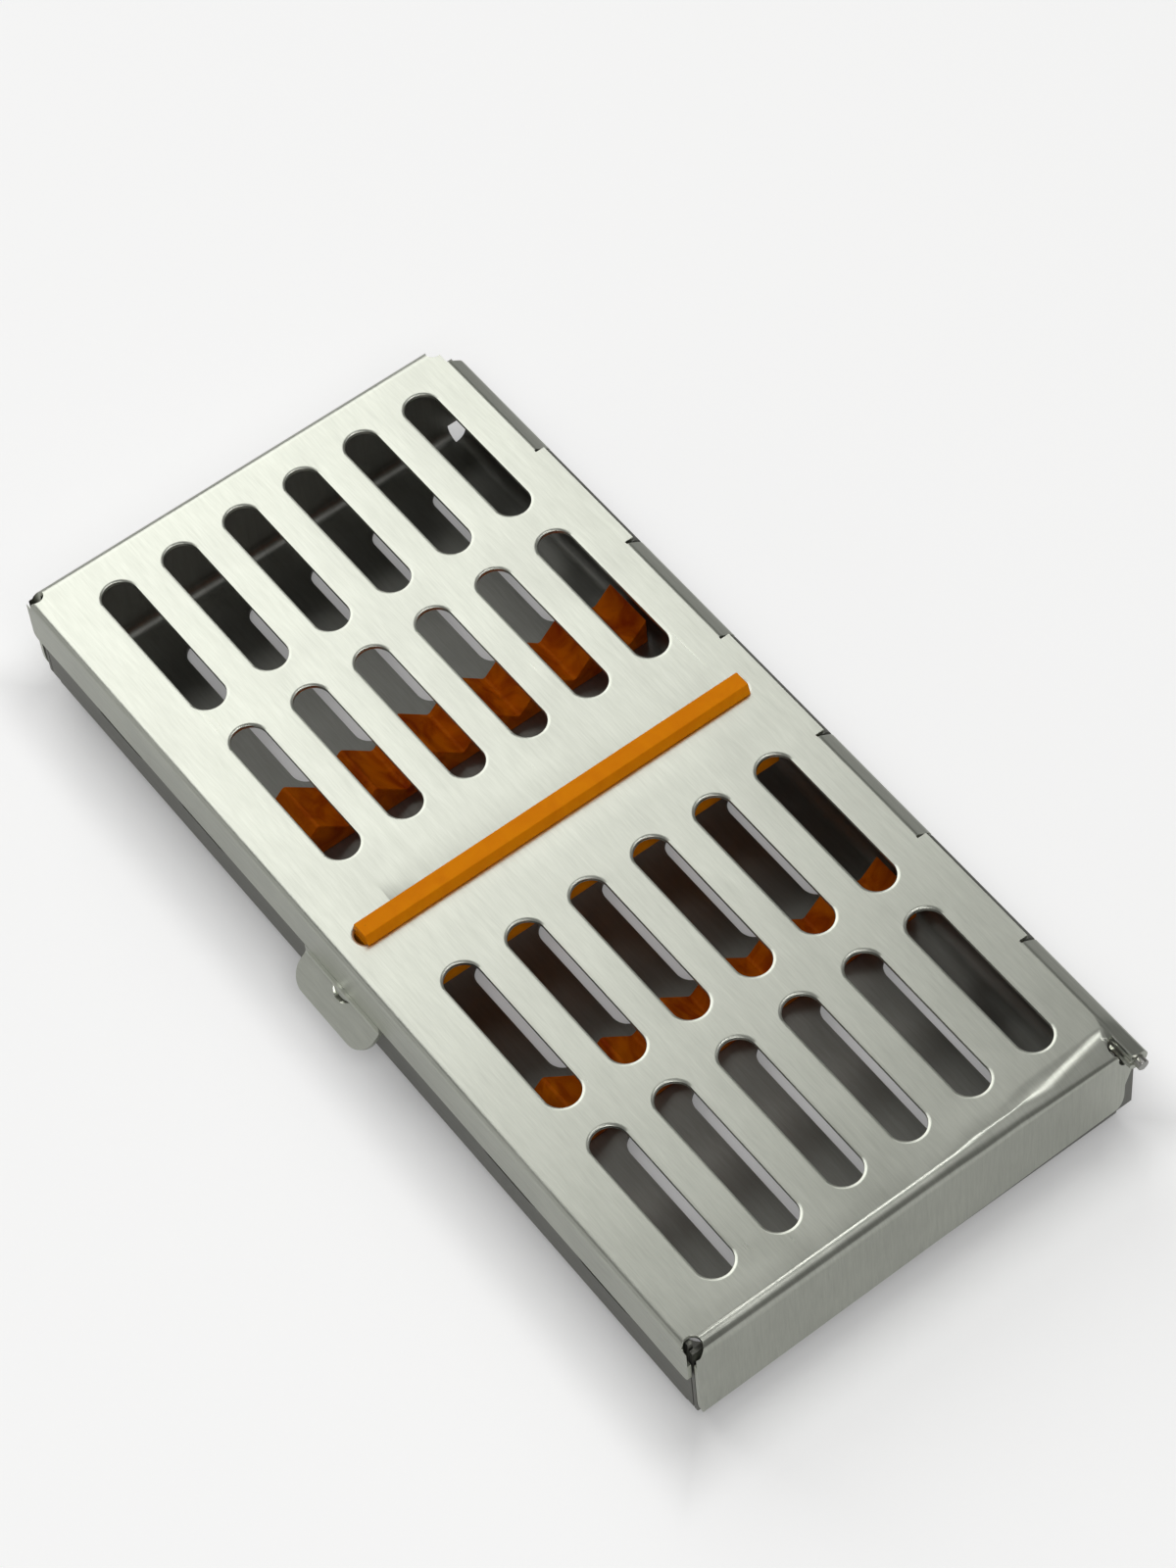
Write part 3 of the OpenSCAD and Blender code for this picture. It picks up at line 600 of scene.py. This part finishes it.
# Racks.
# Two moulded silicone bars with V grooves that the instruments lie in. Each has a neck
# through a slot in the tray's floor, and a tapered ridge below that holds it there.
RACK_LEFT, RACK_RIGHT, RACK_W = -38.7, 39.7, 10.0
GROOVE, FIRST_GROOVE, GROOVE_FOOT, GROOVE_RISE = 11.5, -33.0, 3.166, 5.553
LEFT_RISE, GROOVE_ROUND = 5.31, 0.58
NECK_HALF, RIDGE_HALF, TIP_HALF, RIDGE_H = 1.9, 2.2, 1.5, 2
RACK_NECK_END = 37.4


def widen(times, y):
    """Makes what is selected wider or narrower about a place."""
    bpy.ops.transform.resize(value=(1, times, 1), center_override=(0, y * MM, 0))


rack = flat_sheet("front_silicone_rack", RACK_LEFT, RACK_RIGHT, -RACK_Y - RACK_W / 2,
                  -RACK_Y + RACK_W / 2, SHEET)
work_on(rack)
pick("FACE", lambda x, y, z: True)
pull(0, 0, GROOVE_FOOT - SHEET)
bpy.ops.mesh.select_all(action="SELECT")
bpy.ops.mesh.normals_make_consistent(inside=False)
grooves = [FIRST_GROOVE + GROOVE * k for k in range(7)]
for place in grooves + [g + GROOVE / 2 for g in grooves[:-1]]:
    pick("FACE", lambda x, y, z: z > SHEET + 0.01)
    score_only("x", place)
for g in grooves[:-1]:
    pick("VERT", lambda x, y, z: z > 3 and abs(x - g - GROOVE / 2) < 0.01)
    shift(0, 0, GROOVE_RISE)
pick("VERT", lambda x, y, z: z > 3 and x < RACK_LEFT + 0.01)
shift(0, 0, LEFT_RISE)
pick("VERT", lambda x, y, z: z > 3 and x > RACK_RIGHT - 0.01)
shift(0, 0, GROOVE_RISE * (RACK_RIGHT - grooves[6]) / (GROOVE / 2))
pick("EDGE", lambda x, y, z: z > 3 and abs(y + RACK_Y) < 0.01
     and RACK_LEFT + 0.1 < x < RACK_RIGHT - 0.1)
bpy.ops.mesh.bevel(offset=GROOVE_ROUND * MM, segments=6, affect="EDGES")
for place in (-RACK_NECK_END, RACK_NECK_END):
    pick("FACE", lambda x, y, z: z < SHEET + 0.01)
    score_only("x", place)
for place in (-RACK_Y - NECK_HALF, -RACK_Y + NECK_HALF):
    pick("FACE", lambda x, y, z: z < SHEET + 0.01)
    score_only("y", place)
pick("FACE", lambda x, y, z: z < SHEET + 0.01 and abs(x) < 37 and abs(y + RACK_Y) < 1.5)
pull(0, 0, -SHEET)
pull(0, 0, 0)
widen(RIDGE_HALF / NECK_HALF, -RACK_Y)
pull(0, 0, -RIDGE_H)
widen(TIP_HALF / RIDGE_HALF, -RACK_Y)
put_down()
ease_edges(rack, 0.3, 3)


def silicone(name, color, deep, roughness):
    """Moulded silicone with a matt skin, faint flow marks, pores and specks of dust."""
    material, shader, tree = blank_material(name, color, 0, roughness)
    place = add(tree, "TexCoord")
    flow = add(tree, "TexNoise", [("Vector", place.outputs["Object"]), ("Scale", 160.0),
                                  ("Detail", 5.0), ("Distortion", 1.2)])
    pores = add(tree, "TexNoise", [("Vector", place.outputs["Object"]), ("Scale", 2600.0),
                                   ("Detail", 3.0)])
    specks = add(tree, "TexVoronoi", [("Vector", place.outputs["Object"]), ("Scale", 420.0)])
    skin = add(tree, "ValToRGB", [(0, flow.outputs[0])])
    skin.color_ramp.elements[0].position = 0.3
    skin.color_ramp.elements[0].color = (*deep, 1)
    skin.color_ramp.elements[1].position = 0.62
    skin.color_ramp.elements[1].color = (*color, 1)
    dust = add(tree, "MapRange", [(0, specks.outputs["Distance"]), (1, 0.09), (2, 0.04),
                                  (3, 0.0), (4, 0.35)])
    dusted = add(tree, "Mix", [(0, dust.outputs[0]), (6, skin.outputs[0]),
                               (7, (*[0.55 * c for c in deep], 1))], data_type="RGBA")
    tree.links.new(dusted.outputs[2], shader.inputs["Base Color"])
    sheen = add(tree, "MapRange", [(0, pores.outputs[0]), (1, 0.3), (2, 0.7),
                                   (3, roughness - 0.06), (4, roughness + 0.08)])
    tree.links.new(sheen.outputs[0], shader.inputs["Roughness"])
    relief = maths(tree, "ADD", maths(tree, "MULTIPLY", flow.outputs[0], 2.0), pores.outputs[0])
    bump = add(tree, "Bump", [("Height", relief), ("Strength", 0.35), ("Distance", 0.00006)])
    tree.links.new(bump.outputs[0], shader.inputs["Normal"])
    shader.inputs["Subsurface Weight"].default_value = 0.12
    shader.inputs["Subsurface Radius"].default_value = (0.6, 0.25, 0.05)
    shader.inputs["Subsurface Scale"].default_value = 0.002
    shader.inputs["Specular IOR Level"].default_value = 0.06
    return material


rack_silicone = silicone("rack_silicone", (0.66, 0.15, 0.001), (0.34, 0.04, 0.001), 0.5)
rack.data.materials.append(rack_silicone)

rear_rack = rack.copy()
rear_rack.data = rack.data.copy()
rear_rack.name = "rear_silicone_rack"
bpy.context.collection.objects.link(rear_rack)
bpy.ops.object.select_all(action="DESELECT")
rear_rack.select_set(True)
bpy.context.view_layer.objects.active = rear_rack
bpy.ops.transform.translate(value=(0, 2 * RACK_Y * MM, 0))
bpy.ops.object.transform_apply(location=True, rotation=True, scale=True)
for piece, node in ((rack, "front_rack"), (rear_rack, "rear_rack")):
    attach(piece, "tray")
    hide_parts(node)


# Hold-down strip.
# One silicone moulding in the lid: a thick body that presses on the instruments, a neck
# through the transverse slot and a narrow ridge above the sheet that keeps it there.
STRIP_LEFT, STRIP_RIGHT, STRIP_LOW = -38.6, 37.0, 11.6
STRIP_HALF, STRIP_SIDE, SHOULDER_HALF, STRIP_ROUND = 9, 2.4, 6.5, 1
STRIP_MIDDLE, STRIP_NECK, STRIP_RIDGE = -0.8, 74.4, 75.6

strip = flat_sheet("silicone_strip", STRIP_LEFT, STRIP_RIGHT, -STRIP_HALF, STRIP_HALF, STRIP_LOW)
work_on(strip)
pick("FACE", lambda x, y, z: True)
pull(0, 0, STRIP_SIDE)
pull(0, 0, LID_TOP - SHEET - STRIP_LOW - STRIP_SIDE)
widen(SHOULDER_HALF / STRIP_HALF, 0)
bpy.ops.mesh.select_all(action="SELECT")
bpy.ops.mesh.normals_make_consistent(inside=False)
pick("EDGE", lambda x, y, z: z < STRIP_LOW + 0.01 and abs(y) > STRIP_HALF - 0.1)
bpy.ops.mesh.bevel(offset=STRIP_ROUND * MM, segments=5, affect="EDGES")
for place in (STRIP_MIDDLE - STRIP_NECK / 2, STRIP_MIDDLE + STRIP_NECK / 2):
    pick("FACE", lambda x, y, z: z > LID_TOP - SHEET - 0.01)
    score_only("x", place)
for place in (-NECK_HALF, NECK_HALF):
    pick("FACE", lambda x, y, z: z > LID_TOP - SHEET - 0.01)
    score_only("y", place)
pick("FACE", lambda x, y, z: z > LID_TOP - SHEET - 0.01 and abs(x) < 30 and abs(y) < 1.5)
pull(0, 0, SHEET)
pull(0, 0, 0)
widen(RIDGE_HALF / NECK_HALF, 0)
bpy.ops.transform.resize(value=(STRIP_RIDGE / STRIP_NECK, 1, 1),
                         center_override=(STRIP_MIDDLE * MM, 0, 0))
pull(0, 0, RIDGE_H)
widen(TIP_HALF / RIDGE_HALF, 0)
put_down()
ease_edges(strip, 0.3, 3)
strip_silicone = silicone("strip_silicone", (0.93, 0.29, 0.001), (0.86, 0.25, 0.001), 0.55)
strip.data.materials.append(strip_silicone)
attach(strip, "lid")
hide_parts("hold_down_strip")


# Latch tongue.
# It goes on from the lid's side flange as one sheet, flares out to a lip for the thumb, and
# has a half-moon cut whose edge snaps into the window in the tray's wall.
TONGUE_Y, TONGUE_HALF, TONGUE_TOP = 0.4, 10.0, 13.55
BEND_Z, BEND_R, BEND_TURN = 12.1, 1.2, 48
LIP_RUN, LIP_DROP, LIP_ROUND = 3.567, 3.212, 3.8
MOON_CHORD, MOON_LOW, MOON_HIGH, MOON_Z = 4.6, 1.0, 0.4, 11.5

tongue = flat_sheet("latch_sheet", BEND_Z, TONGUE_TOP, TONGUE_Y - TONGUE_HALF,
                    TONGUE_Y + TONGUE_HALF, 0)
tongue.rotation_euler = (0, radians(-90), 0)
tongue.location = (LID_LEFT * MM, 0, 0)
bpy.ops.object.transform_apply(location=True, rotation=True, scale=True)
work_on(tongue)
pick("EDGE", lambda x, y, z: z < BEND_Z + 0.01)
roll(BEND_TURN, (0, 1, 0), LID_LEFT - BEND_R, 0, BEND_Z, 8)
pull(-LIP_RUN, 0, -LIP_DROP)
pick("VERT", lambda x, y, z: z < BEND_Z - BEND_R - 2)
bpy.ops.mesh.bevel(offset=LIP_ROUND * MM, segments=10, affect="VERTICES")
put_down()
thicken(tongue, SHEET, -1)
stamp(tongue, crescent(MOON_CHORD, MOON_LOW, MOON_HIGH, 3),
      [(LID_LEFT + SHEET / 2, TONGUE_Y, MOON_Z)])
ease_edges(tongue, SHEET_EASE)
tongue.data.materials.append(lid_steel)
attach(tongue, "latch")
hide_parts("latch_tongue")


# Camera, floor and lights.
# The camera stands above the near left corner. The table is a pale matt cloth, which keeps
# the shadow; under the case its glow is turned down, which is painted shade. A large window
# is behind, a small light high on the right for the folds, a softer one in front and a faint
# one behind on the left.
bpy.ops.object.camera_add(location=(-0.21398, -0.35330, 0.62884),
                          rotation=(radians(34.382), radians(3.548), radians(-37.062)))
camera = bpy.context.object
camera.data.lens = 106.43
camera.data.clip_start = 0.01
bpy.context.scene.camera = camera

bpy.ops.object.select_all(action="DESELECT")
bpy.ops.mesh.primitive_plane_add(size=8, location=(0, 0, -2 * MM))
floor = bpy.context.object
floor.name = "floor"
white, shader, tree = blank_material("floor_white", (0.72, 0.72, 0.72), 0, 0.8)
# Only the camera sees the floor's own glow. Under the case it is turned down, as painted
# shade; the case reaches this far from the middle, in metres.
UNDER_X, UNDER_Y, UNDER_BLUR = 0.040, 0.086, 0.016
UNDER_CASE_PAINTED_SHADE_GLOW, TABLE_GLOW = 0.17, 0.46
place = add(tree, "TexCoord")
spot = add(tree, "SeparateXYZ", [(0, place.outputs["Object"])])
beside = maths(tree, "MAXIMUM",
               maths(tree, "SUBTRACT", maths(tree, "ABSOLUTE", spot.outputs[0]), UNDER_X),
               maths(tree, "SUBTRACT", maths(tree, "ABSOLUTE", spot.outputs[1]), UNDER_Y))
glow_with_painted_shade = add(tree, "MapRange", [(0, beside), (1, 0.0), (2, UNDER_BLUR),
                              (3, UNDER_CASE_PAINTED_SHADE_GLOW), (4, TABLE_GLOW)],
           interpolation_type="SMOOTHSTEP")
seen = add(tree, "LightPath")
tree.links.new(maths(tree, "MULTIPLY", seen.outputs["Is Camera Ray"], glow_with_painted_shade.outputs[0]),
               shader.inputs["Emission Strength"])
shader.inputs["Emission Color"].default_value = (1, 1, 1, 1)
floor.data.materials.append(white)


def window(azimuth, elevation, distance, width, height, radiance, tint=(1, 1, 1)):
    """A soft light that faces the middle of the cassette, placed by direction."""
    bpy.ops.object.light_add(type="AREA", rotation=(
        radians(90 - elevation), 0, radians(90 + azimuth)))
    lamp = bpy.context.object
    lamp.location = lamp.rotation_euler.to_matrix().col[2] * distance
    lamp.data.shape = "RECTANGLE"
    lamp.data.size = width
    lamp.data.size_y = height
    lamp.data.energy = radiance * pi * width * height
    lamp.data.color = tint
    return lamp


window(86, 40, 2.2, 2.0, 2.0, 1.44, (1, 1, 0.99)).name = "window_light"
window(0, 72, 1.8, 0.3, 0.3, 6.0).name = "ceiling_light"
window(-115, 58, 1.9, 1.0, 1.0, 3.6).name = "front_light"
window(150, 20, 2.0, 1.6, 0.8, 0.35).name = "room_light"

world = bpy.data.worlds.new("studio")
bpy.context.scene.world = world
world.use_nodes = True
world.node_tree.nodes["Background"].inputs["Color"].default_value = (0.12, 0.12, 0.117, 1)
bpy.context.scene.view_settings.view_transform = "Standard"
